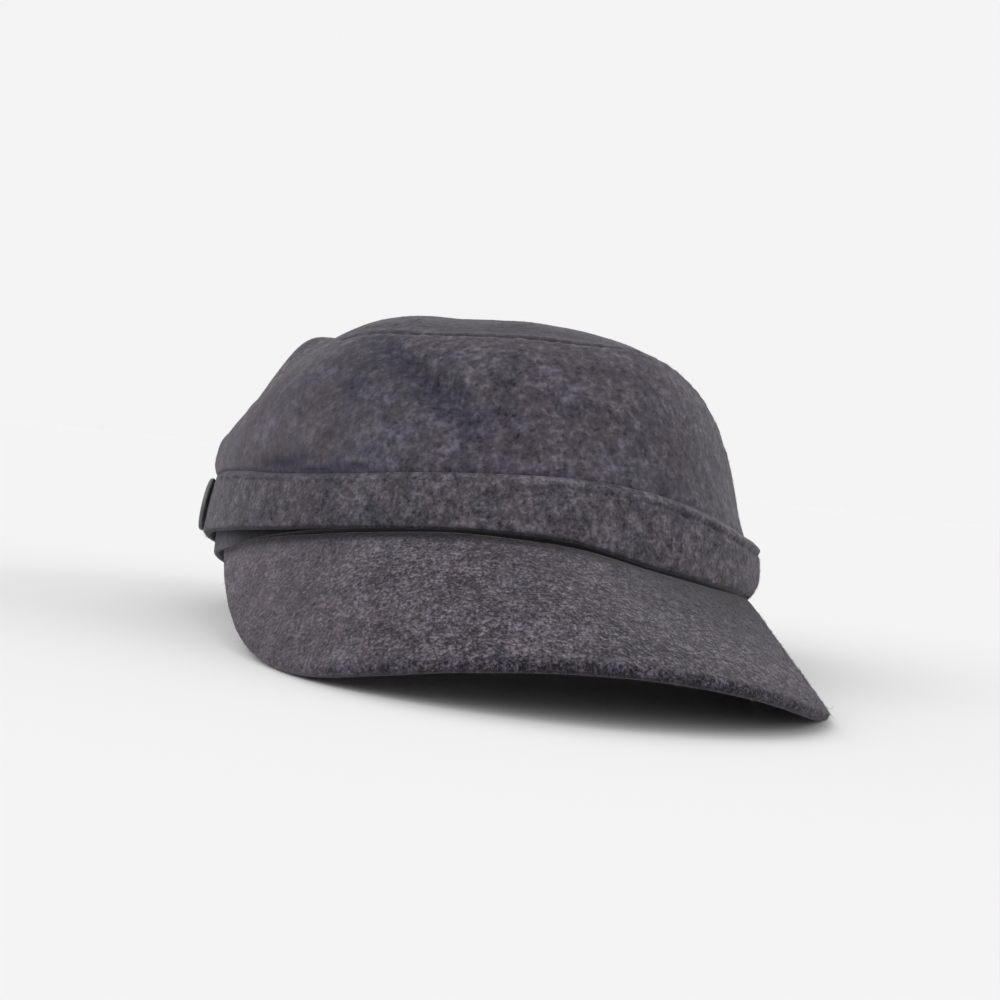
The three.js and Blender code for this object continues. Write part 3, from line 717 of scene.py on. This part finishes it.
# The turned-up edge is painted nearly black: painted shade in the corner under the band.
turn_up = felt_roll("turned_up_edge_of_peak", turn_up_line, level_out(turns), turn_up_radius, False, 0.08)

# %% [markdown]
# A small plastic button on a shank holds the band at each side, just behind the temple. Only the edge of
# one shows in the photograph. A profile turned round the button's axis gives its raised rim and dished
# face.

# %% Buttons
BUTTON_TURN = np.radians(103)
BUTTON_HEIGHT, BUTTON_STAND, BUTTON_LEAN = 10.4, 3.15, 0.95
BUTTON_SIDES, BUTTON_STEPS = 72, 3
BUTTON_PROFILE = table("""
radius height
0.0    0.0
6.0    0.0
6.3    0.15
6.3    0.4
7.1    0.4
7.9    0.65
8.3    1.0
8.35   1.35
8.25   1.8
7.9    2.1
7.4    2.2
6.8    2.15
6.3    1.85
5.8    1.55
5.0    1.35
4.0    1.4
2.8    1.5
1.4    1.55
0.0    1.55
""")


def smooth_open(column):
    """Smooth open curve through values, with the end values repeated so that it stops at them."""
    padded = np.concatenate([column[:1], column, column[-1:]])
    t = np.arange((len(column) - 1) * BUTTON_STEPS + 1) / BUTTON_STEPS
    row = np.minimum(t.astype(int), len(column) - 2)
    return between(*(padded[row + k] for k in range(4)), t - row)


def unit(vector):
    """The vector at length 1."""
    return vector / np.linalg.norm(vector)


def make_button(name, turn):
    """The profile turned about an axis that stands square to the band and leans up where the band flares."""
    radius = np.clip(smooth_open(BUTTON_PROFILE["radius"]), 0, None)[1:-1]
    height = smooth_open(BUTTON_PROFILE["height"])[1:-1]
    angle = np.linspace(0, 2 * np.pi, BUTTON_SIDES, endpoint=False)[:, None]
    flare = around(RIM["flare"], turn)
    axis = unit(np.array([np.sin(turn) / HEAD_HALF_WIDTH, -np.cos(turn) / HEAD_HALF_LENGTH, 0]))
    axis[2] = (flare + BUTTON_LEAN) / SECTION_HEIGHT
    axis = unit(axis)
    side_way = unit(np.cross([0, 0, 1], axis))
    up_way = np.cross(axis, side_way)
    stand = BUTTON_STAND + flare * (1 - BUTTON_HEIGHT / SECTION_HEIGHT) ** 2
    foot = on_head(np.array(turn), stand, around(RIM["band"], turn) + BUTTON_HEIGHT)
    spoke = np.cos(angle) * side_way + np.sin(angle) * up_way
    rings = foot + radius[:, None, None] * spoke + height[:, None, None] * axis
    points, fans = capped(rings, [foot, foot + BUTTON_PROFILE["height"][-1] * axis])
    return make_piece(name, points, grid_faces(len(rings), BUTTON_SIDES, False, True), fans)


button_right = make_button("button_on_right", 2 * np.pi - BUTTON_TURN)
button_left = make_button("button_on_left", BUTTON_TURN)

# %% [markdown]
# The felt is wool of two or three greys carded together, so close up it is a cloud of light and dark
# specks, a little bluer where it is dark. One node group makes that melange from noise, and paints shade
# on it, bluish, from a share of plain colour that each piece's points carry. A few helpers make the nodes.

# %% Node helpers
def feed(tree, node, values):
    """Joins inputs of a node to sockets, or sets them to plain values, and gives the node back."""
    for key, value in values.items():
        if isinstance(value, bpy.types.NodeSocket):
            tree.links.new(value, node.inputs[key])
        else:
            node.inputs[key].default_value = value
    return node


def math(tree, operation, a, b):
    """A Math node whose inputs are sockets or numbers, as its output socket."""
    node = feed(tree, tree.nodes.new("ShaderNodeMath"), {0: a, 1: b})
    node.operation = operation
    return node.outputs[0]


def noise(tree, vector, scale, detail, roughness, distortion=0.0):
    """A Noise Texture with its settings, as its value socket."""
    values = {"Scale": scale, "Detail": detail, "Roughness": roughness, "Distortion": distortion}
    return feed(tree, tree.nodes.new("ShaderNodeTexNoise"), {"Vector": vector, **values}).outputs[0]


def stretched(tree, vector, turn, scale):
    """A Mapping node that turns and stretches the space a pattern is drawn in."""
    values = {"Vector": vector, "Rotation": np.radians(turn), "Scale": scale}
    return feed(tree, tree.nodes.new("ShaderNodeMapping"), values).outputs[0]


def mixed(tree, factor, a, b, blend="MIX"):
    """A mix of two colours as far as the factor says. With the blend MULTIPLY the second one is a tint."""
    node = tree.nodes.new("ShaderNodeMix")
    node.data_type = "RGBA"
    node.blend_type = blend
    first, second = [place for place, socket in enumerate(node.inputs) if socket.type == "RGBA"]
    feed(tree, node, {"Factor": factor, first: a, second: b})
    return next(socket for socket in node.outputs if socket.type == "RGBA")


def ranged(tree, value, low, high, to_low=0.0, to_high=1.0):
    """A Map Range node that clamps a value's range to another, as its output socket."""
    values = {"Value": value, "From Min": low, "From Max": high, "To Min": to_low, "To Max": to_high}
    return feed(tree, tree.nodes.new("ShaderNodeMapRange"), values).outputs[0]


def added(tree, *values):
    """The sum of several sockets."""
    total = values[0]
    for value in values[1:]:
        total = math(tree, "ADD", total, value)
    return total


def about_half(tree, value, gain):
    """How far a noise value lies from one half, times a gain."""
    return math(tree, "MULTIPLY", math(tree, "SUBTRACT", value, 0.5), gain)


# %% [markdown]
# Each pattern is a noise with its scale to the metre, detail, roughness and distortion: specks, dark burrs,
# the clumps that fibres form, wide uneven patches, and two slow changes of hue. Three runs of short fibres
# cross each other, each turned by its own angles and drawn out lengthwise. The group puts out a colour, a
# height and the pale flecks.

# %% Felt node group
FIBRE_RUNS = (((20, 35, 10), 1450), ((70, -15, 60), 1450), ((-30, 60, -40), 1650))
FIBRE_STRETCH = (1, 0.75, 1)
PATTERNS = {
    "specks": (1250, 1, 0.6, 0.3),
    "burrs": (620, 1, 0.6),
    "clumps": (380, 1, 0.9, 0.1),
    "hue": (130, 2, 0.6),
    "patches": (90, 1, 0.8, 0.3),
    "wide hue": (34, 1, 0.6),
}
FIBRE_GAIN, SPECK_GAIN, CLUMP_GAIN, PATCH_GAIN, BURR_GAIN = 1.6, 4.0, 3.0, 1.5, -0.30
PLAIN_MIX = 0.47
COOL_TINT, GREEN_TINT = (0.94, 0.985, 1.055, 1), (0.965, 1.012, 0.99, 1)
# Tints of the painted shade: bluish as it deepens, and less blue again where it is deepest.
SHADE_TINT, DEEP_SHADE_TINT = (0.03, 0.06, 0.26, 1), (0.42, 0.30, 0.16, 1)


def felt_group():
    """Wool melange. The mix of dark, middle and light grey is PLAIN_MIX plus the grain, clumps and patches,
    which are noise about zero, less the burrs. The hues tint it, and then the painted shade."""
    group = bpy.data.node_groups.new("wool melange", "ShaderNodeTree")
    new_socket = group.interface.new_socket
    new_socket(name="Vector", in_out="INPUT", socket_type="NodeSocketVector")
    for name, grey in (("Dark", 0.03), ("Middle", 0.06), ("Light", 0.12)):
        socket = new_socket(name=name, in_out="INPUT", socket_type="NodeSocketColor")
        socket.default_value = (grey, grey, grey, 1)
    for name, highest in (("Grain", 3.0), ("Clumps", 3.0), ("Patches", 3.0), ("Painted light", 1.0), ("Pile", 2.0)):
        socket = new_socket(name=name, in_out="INPUT", socket_type="NodeSocketFloat")
        socket.default_value = 1.0
        socket.min_value = 0.0
        socket.max_value = highest
    new_socket(name="Color", in_out="OUTPUT", socket_type="NodeSocketColor")
    for name in ("Height", "Fleck"):
        new_socket(name=name, in_out="OUTPUT", socket_type="NodeSocketFloat")
    enter = group.nodes.new("NodeGroupInput").outputs
    leave = group.nodes.new("NodeGroupOutput").inputs
    place = enter["Vector"]
    runs = [(stretched(group, place, turn, FIBRE_STRETCH), scale) for turn, scale in FIBRE_RUNS]
    fibres = [noise(group, where, scale, 1, 0.6, 0.8) for where, scale in runs]
    drawn = {name: noise(group, place, *settings) for name, settings in PATTERNS.items()}
    upper = math(group, "MAXIMUM", math(group, "MAXIMUM", fibres[0], fibres[1]), fibres[2])
    fibre_grain = [about_half(group, value, FIBRE_GAIN) for value in fibres]
    grain = added(group, *fibre_grain, about_half(group, drawn["specks"], SPECK_GAIN))
    grain = math(group, "MULTIPLY", grain, enter["Grain"])
    mottle = math(group, "MULTIPLY", about_half(group, drawn["clumps"], CLUMP_GAIN), enter["Clumps"])
    cloud = math(group, "MULTIPLY", about_half(group, drawn["patches"], PATCH_GAIN), enter["Patches"])
    rough = math(group, "MULTIPLY", math(group, "ADD", grain, mottle), enter["Pile"])
    dark_burrs = ranged(group, drawn["burrs"], 0.40, 0.30, 0, BURR_GAIN)
    mix = added(group, rough, cloud, math(group, "MULTIPLY", dark_burrs, enter["Pile"]), PLAIN_MIX)
    colour = mixed(group, ranged(group, mix, -0.15, 0.5), enter["Dark"], enter["Middle"])
    colour = mixed(group, ranged(group, mix, 0.5, 1.7), colour, enter["Light"])
    # Painted shade: how far the colour is darkened, from the share that the piece's points carry.
    shade = math(group, "SUBTRACT", 1.0, enter["Painted light"])
    tints = (
        (ranged(group, drawn["hue"], 0.62, 0.38), COOL_TINT),
        (ranged(group, drawn["wide hue"], 0.40, 0.60), GREEN_TINT),
        (shade, SHADE_TINT),
        (ranged(group, shade, 0.4, 0.9), DEEP_SHADE_TINT),
    )
    for factor, tint in tints:
        colour = mixed(group, factor, colour, tint, "MULTIPLY")
    group.links.new(colour, leave["Color"])
    speck_height = math(group, "MULTIPLY", drawn["specks"], 0.8)
    height = added(group, math(group, "MULTIPLY", upper, 0.7), speck_height, drawn["clumps"])
    group.links.new(height, leave["Height"])
    group.links.new(ranged(group, upper, 0.55, 0.8), leave["Fleck"])
    return group


MELANGE = felt_group()
print("melange inputs:", [s.name for s in MELANGE.interface.items_tree if s.in_out == "INPUT"])

# %% [markdown]
# Every felt material is the same melange on a dull shader with a soft sheen, which is the fuzz seen
# edge-on. Dark and light wool are multiples of the middle grey, so one grey for each piece is enough. A
# finished piece is handed to the frame: it rides on the cap's one body and may stand for a node.

# %% Felt materials
DARK_SHARE, LIGHT_SHARE = (0.20, 0.22, 0.26), (4.0, 4.0, 3.9)
NAP_DEPTH = 0.0008


def new_material(name):
    """A material with the plain Principled shader: the material, its node tree and the shader."""
    material = bpy.data.materials.new(name)
    material.use_nodes = True
    return material, material.node_tree, material.node_tree.nodes["Principled BSDF"]


def attribute(tree, label):
    """The value that a piece's points carry under a label, as a socket."""
    node = tree.nodes.new("ShaderNodeAttribute")
    node.attribute_name = label
    return node.outputs["Fac"]


def object_place(tree):
    """The place on the piece in metres, as a socket."""
    return tree.nodes.new("ShaderNodeTexCoord").outputs["Object"]


def bumped(tree, height, depth, strength):
    """The normal of a relief that is some depth in metres, as a socket."""
    values = {"Height": height, "Distance": depth, "Strength": strength}
    return feed(tree, tree.nodes.new("ShaderNodeBump"), values).outputs["Normal"]


def felt_material(name, middle, grain=0.14, clumps=0.5, patches=0.5, bump=0.13, run=(1, 1, 1)):
    """A Principled material on the melange group. The wool runs lengthwise where run is under 1."""
    material, tree, shader = new_material(name)
    group = tree.nodes.new("ShaderNodeGroup")
    group.node_tree = MELANGE
    wool = {
        "Vector": stretched(tree, object_place(tree), (0, 0, 0), run),
        "Dark": (*np.multiply(middle, DARK_SHARE), 1),
        "Middle": (*middle, 1),
        "Light": (*np.multiply(middle, LIGHT_SHARE), 1),
        "Grain": grain,
        "Clumps": clumps,
        "Patches": patches,
        "Painted light": attribute(tree, "painted_light"),
        "Pile": attribute(tree, "pile"),
    }
    feed(tree, group, wool)
    surface = {
        "Base Color": group.outputs["Color"],
        "Roughness": ranged(tree, group.outputs["Fleck"], 0, 1, 0.97, 0.8),
        "Normal": bumped(tree, group.outputs["Height"], NAP_DEPTH, bump),
        "Specular IOR Level": 0.2,
        "Sheen Weight": 0.25,
        "Sheen Roughness": 0.45,
        "Sheen Tint": (0.62, 0.60, 0.64, 1),
    }
    feed(tree, shader, surface)
    return material


def hand_over(piece, material, slot, node=None):
    """Gives a piece its material and body, hides the frame node that it replaces, if any, and prints its
    slot.
    """
    piece.data.materials.append(material)
    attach(piece, "root")
    if node:
        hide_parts(node)
    print(piece.name, "in slot", slot, "for node", node)


# The middle greys differ from piece to piece as painted light and shade. The headband's much darker grey is
# painted shade under the band, and the turned-up edge of the peak is given the same material.
FELTS = {
    "crown_side": (crown_side, (0.0592, 0.0508, 0.0610)),
    "crown_tip": (crown_tip, (0.0715, 0.0606, 0.0668)),
    "band": (band, (0.0652, 0.0559, 0.0647), 0.25, 0.5, 0.5, 0.16),
    "headband": (headband, (0.036, 0.033, 0.037)),
    "peak": (peak, (0.0700, 0.0571, 0.0660), 0.72, 0.58, 0.5, 0.35, (1, 0.75, 0.9)),
}
for node, (piece, *settings) in FELTS.items():
    hand_over(piece, felt_material(f"{node} felt".replace("_", " "), *settings), f"{node}_felt", node)
hand_over(allowance, crown_side.data.materials[0], "crown_side_felt")
hand_over(turn_up, headband.data.materials[0], "peak_felt")

# %% [markdown]
# Felt is never quite smooth: short ends of wool lie on it in every direction, and a few stand away from the
# edges. A hair system could grow them, but a mesh of thin strips needs no modifier and goes into the
# exported model as it is. Each strip starts at a random place on a piece's grid, chosen by area. The
# numbers for each piece are the count, the reach, lift and width in millimetres, the seed, and the tones.

# %% Wool ends as strips
STRIP_ROWS, STRIP_SINK = 4, 0.04
BAND_FACE = slice(6, 60)
PEAK_TOP, PEAK_UNDERSIDE = slice(0, EDGE_MIDDLE + 3), slice(EDGE_MIDDLE + 3, None)
PEAK_RIM = slice(EDGE_MIDDLE - 8, EDGE_MIDDLE + 4)


def wool_ends(name, grid, count, reach, lift, width, seed, tones=(0.0, 1.0), density=1.0):
    """Strips of three faces. The middle line is root + heading * reach * s + sideways * curl * s^2 +
    normal * lift * s^0.8 for s from 0 to 1, and the width falls off to a fifth at the tip."""
    rng = np.random.default_rng(seed)
    corner = grid[:-1, :-1]
    along, across = grid[1:, :-1] - corner, grid[:-1, 1:] - corner
    normal = np.cross(across, along)
    area = np.linalg.norm(normal, axis=-1)
    chance = (area * np.broadcast_to(density, grid.shape[:2])[:-1, :-1]).ravel()
    pick = rng.choice(area.size, count, p=chance / chance.sum())
    normal = (normal / np.maximum(area, 1e-9)[..., None]).reshape(-1, 3)[pick]
    along, across, corner = (a.reshape(-1, 3)[pick] for a in (along, across, corner))
    a, b, angle, twist, curl, long, high, tone = rng.uniform(size=(8, count, 1))
    tone = tones[0] + (tones[1] - tones[0]) * tone
    root = corner + a * along + b * across - STRIP_SINK * normal
    across = across / np.linalg.norm(across, axis=-1, keepdims=True)
    other = np.cross(normal, across)
    heading = np.cos(2 * np.pi * angle) * across + np.sin(2 * np.pi * angle) * other
    sideways = np.cross(normal, heading)
    reach = reach * (0.4 + long)
    step = np.linspace(0, 1, STRIP_ROWS)[:, None, None]
    middle = root + heading * reach * step + sideways * (curl - 0.5) * reach * step**2
    middle = middle + normal * lift * (0.1 + 2.2 * high**3) * step**0.8
    flat_way = np.cos(2 * np.pi * twist) * sideways + np.sin(2 * np.pi * twist) * normal
    half = flat_way * width / 2 * (1 - 0.8 * step)
    points = press_flat(np.stack([middle - half, middle + half], 2).transpose(1, 0, 2, 3).reshape(-1, 3))
    edges = np.arange(0, 2 * STRIP_ROWS - 2, 2)
    first = (np.arange(count)[:, None] * 2 * STRIP_ROWS + edges).ravel()[:, None]
    mesh = bpy.data.meshes.new(name)
    mesh.from_pydata(to_row(points).tolist(), [], (first + np.array([0, 1, 3, 2])).tolist())
    shade = mesh.attributes.new("tone", "FLOAT", "POINT")
    shade.data.foreach_set("value", np.repeat(tone.ravel(), 2 * STRIP_ROWS).astype(np.float32))
    print(f"{name}: {count} ends, {count * len(edges) * 2} triangles")
    return placed(name, mesh)


def closed(grid):
    """A grid with its first column repeated at its end."""
    return np.concatenate([grid, grid[:, :1]], axis=1)


visible_side = closed(side_grid[2:])
side_wool = brushed(visible_side, 0.4) ** 2
peak_grid, peak_wool = peak_loop[:, ::-1], peak_wool[:, ::-1]
wool = [
    wool_ends("wool_on_crown_side", visible_side, 10000, 1.6, 0.22, 0.06, 21, (0.45, 0.72), side_wool),
    wool_ends("wool_on_crown_tip", closed(top)[:, ::-1], 9000, 1.6, 0.22, 0.06, 22, (0.4, 0.78)),
    wool_ends("wool_on_band", closed(band_loop[BAND_FACE]), 14000, 1.3, 0.25, 0.06, 23, (0.2, 0.9)),
    wool_ends("wool_on_peak", peak_grid[PEAK_TOP], 33000, 0.9, 0.30, 0.09, 24, density=peak_wool[PEAK_TOP]),
    wool_ends("wool_under_peak", peak_grid[PEAK_UNDERSIDE], 7000, 1.2, 0.2, 0.07, 25),
    wool_ends("stray_wool_on_peak", peak_grid[PEAK_RIM], 120, 2.6, 0.9, 0.06, 26),
]

# %% Wool end material
def wool_material():
    """Each strip has its own tone between a dark and a pale grey, with a little unevenness along it."""
    material, tree, shader = new_material("wool ends")
    uneven = about_half(tree, noise(tree, object_place(tree), 1600, 1, 0.5), 0.8)
    mix = math(tree, "ADD", math(tree, "POWER", attribute(tree, "tone"), 2.0), uneven)
    colour = mixed(tree, ranged(tree, mix, 0, 1), (0.012, 0.011, 0.013, 1), (0.21, 0.19, 0.205, 1))
    roughness = ranged(tree, uneven, -0.2, 0.2, 0.7, 0.9)
    feed(tree, shader, {"Base Color": colour, "Roughness": roughness, "Specular IOR Level": 0.3})
    return material


ends_finish = wool_material()
for piece, slot in zip(wool, ("crown_side_felt", "crown_tip_felt", "band_felt", *["peak_felt"] * 3)):
    hand_over(piece, ends_finish, slot)

# %% [markdown]
# The button is dull moulded plastic. An uneven grey and fine scratches keep it from looking new.

# %% Button material
SCRATCH_DEPTH = 0.0001


def button_material():
    """Grey plastic with a cloudy colour, and fine scratches in its roughness and its normal."""
    material, tree, shader = new_material("button plastic")
    where = object_place(tree)
    cloud = noise(tree, where, 260, 3, 0.6, 0.4)
    scratches = noise(tree, stretched(tree, where, (35, 0, 20), (1, 0.06, 1)), 1800, 2, 0.5)
    colour = mixed(tree, ranged(tree, cloud, 0.35, 0.65), (0.075, 0.072, 0.078, 1), (0.135, 0.130, 0.136, 1))
    roughness = ranged(tree, scratches, 0.3, 0.7, 0.38, 0.62)
    normal = bumped(tree, scratches, SCRATCH_DEPTH, 0.3)
    feed(tree, shader, {"Base Color": colour, "Roughness": roughness, "Normal": normal})
    return material


plastic = button_material()
hand_over(button_right, plastic, "button", "button_right")
hand_over(button_left, plastic, "button", "button_left")

# %% [markdown]
# The cap lies on a plain pale floor in soft light. The light is three broad suns and an even sky, so the
# floor is equally bright everywhere and runs into the background without a visible line.

# %% Floor and light
FLOOR_HALF, FLOOR_LEVEL = 30.0, -0.0002
corners = [(x * FLOOR_HALF, y * FLOOR_HALF, FLOOR_LEVEL) for x, y in ((-1, -1), (1, -1), (1, 1), (-1, 1))]
floor_mesh = bpy.data.meshes.new("floor")
floor_mesh.from_pydata(corners, [], [(0, 1, 2, 3)])
floor = placed("floor", floor_mesh)
paper, paper_tree, paper_shader = new_material("pale floor")
matt = {"Base Color": (0.845, 0.845, 0.845, 1), "Roughness": 0.95, "Specular IOR Level": 0.0}
feed(paper_tree, paper_shader, matt)
floor.data.materials.append(paper)

# each sun's strength, then its width, azimuth and elevation in degrees
SUNS = {"key": (1.75, 50, -62, 36), "fill": (1.5, 60, 70, 9), "front": (0.42, 60, -13, 8)}
for name, (strength, spread, azimuth, elevation) in SUNS.items():
    lamp = placed(name, bpy.data.lights.new(name, "SUN"))
    lamp.data.energy = strength
    lamp.data.angle = np.radians(spread)
    lamp.rotation_euler = (np.radians(90 - elevation), 0, np.radians(azimuth))
world = bpy.data.worlds.new("studio")
bpy.context.scene.world = world
world.use_nodes = True
air = world.node_tree
sky = feed(air, air.nodes["Background"], {"Color": (1.0, 1.0, 1.0, 1), "Strength": 0.62})
seen = air.nodes.new("ShaderNodeBackground")
feed(air, seen, {"Color": (0.90, 0.90, 0.90, 1), "Strength": 1.0})
by_camera = air.nodes.new("ShaderNodeLightPath").outputs["Is Camera Ray"]
either = air.nodes.new("ShaderNodeMixShader")
feed(air, either, {"Fac": by_camera, 1: sky.outputs[0], 2: seen.outputs[0]})
feed(air, air.nodes["World Output"], {"Surface": either.outputs[0]})
bpy.context.scene.view_settings.view_transform = "Standard"
print("suns:", list(SUNS), "and a sky")
